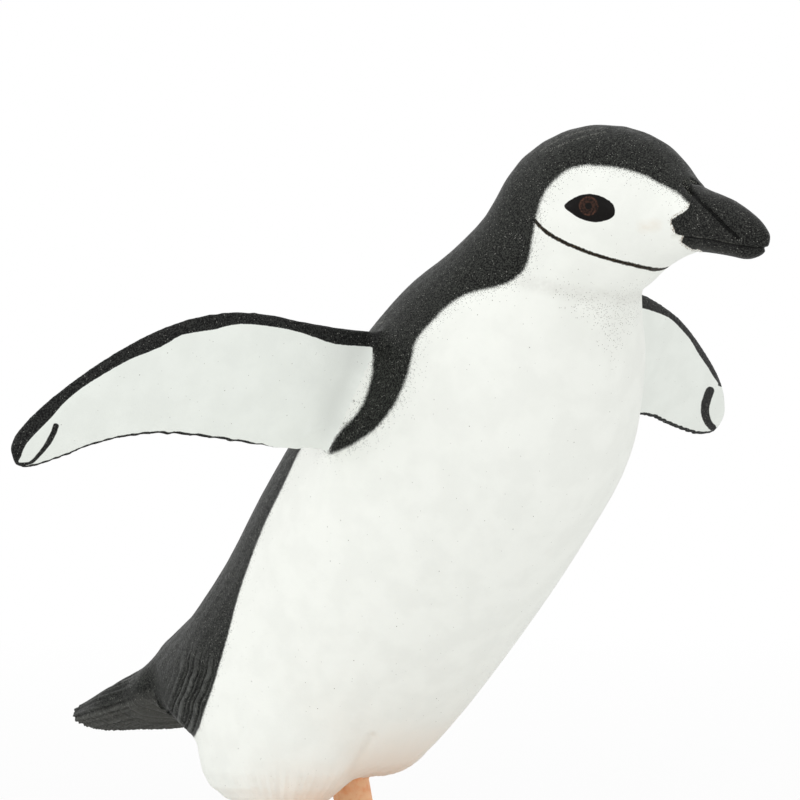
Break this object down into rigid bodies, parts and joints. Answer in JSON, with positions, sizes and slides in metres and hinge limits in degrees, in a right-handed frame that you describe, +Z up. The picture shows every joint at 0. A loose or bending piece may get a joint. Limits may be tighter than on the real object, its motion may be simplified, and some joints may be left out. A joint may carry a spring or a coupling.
{
  "type": "penguin figurine",
  "caption": "Painted penguin figurine that leans forward with spread flippers; hollow body halves carry plug-in beak, tail, flippers and webbed feet, and it stands on flat soles.",
  "frame": {"origin": "on the ground under the middle of the bounding box", "axes": "+Z up; the figure faces -Y; +X is its left side"},
  "size_m": [0.0918, 0.083, 0.0655],
  "materials": {
    "white_plumage": "matte hand-sprayed white with a black hood and back",
    "black_plumage": "matte hand-painted black",
    "flipper_white": "matte white inside, black outside and along the edges",
    "foot_flesh": "matte orange-pink with dark claws"
  },
  "bodies": {
    "root": {"body_left_half": "white_plumage", "body_right_half": "white_plumage", "beak": "black_plumage", "tail": "black_plumage", "flipper_left": "flipper_white", "flipper_right": "flipper_white", "foot_left": "foot_flesh", "foot_right": "foot_flesh"}
  },
  "joints": []
}
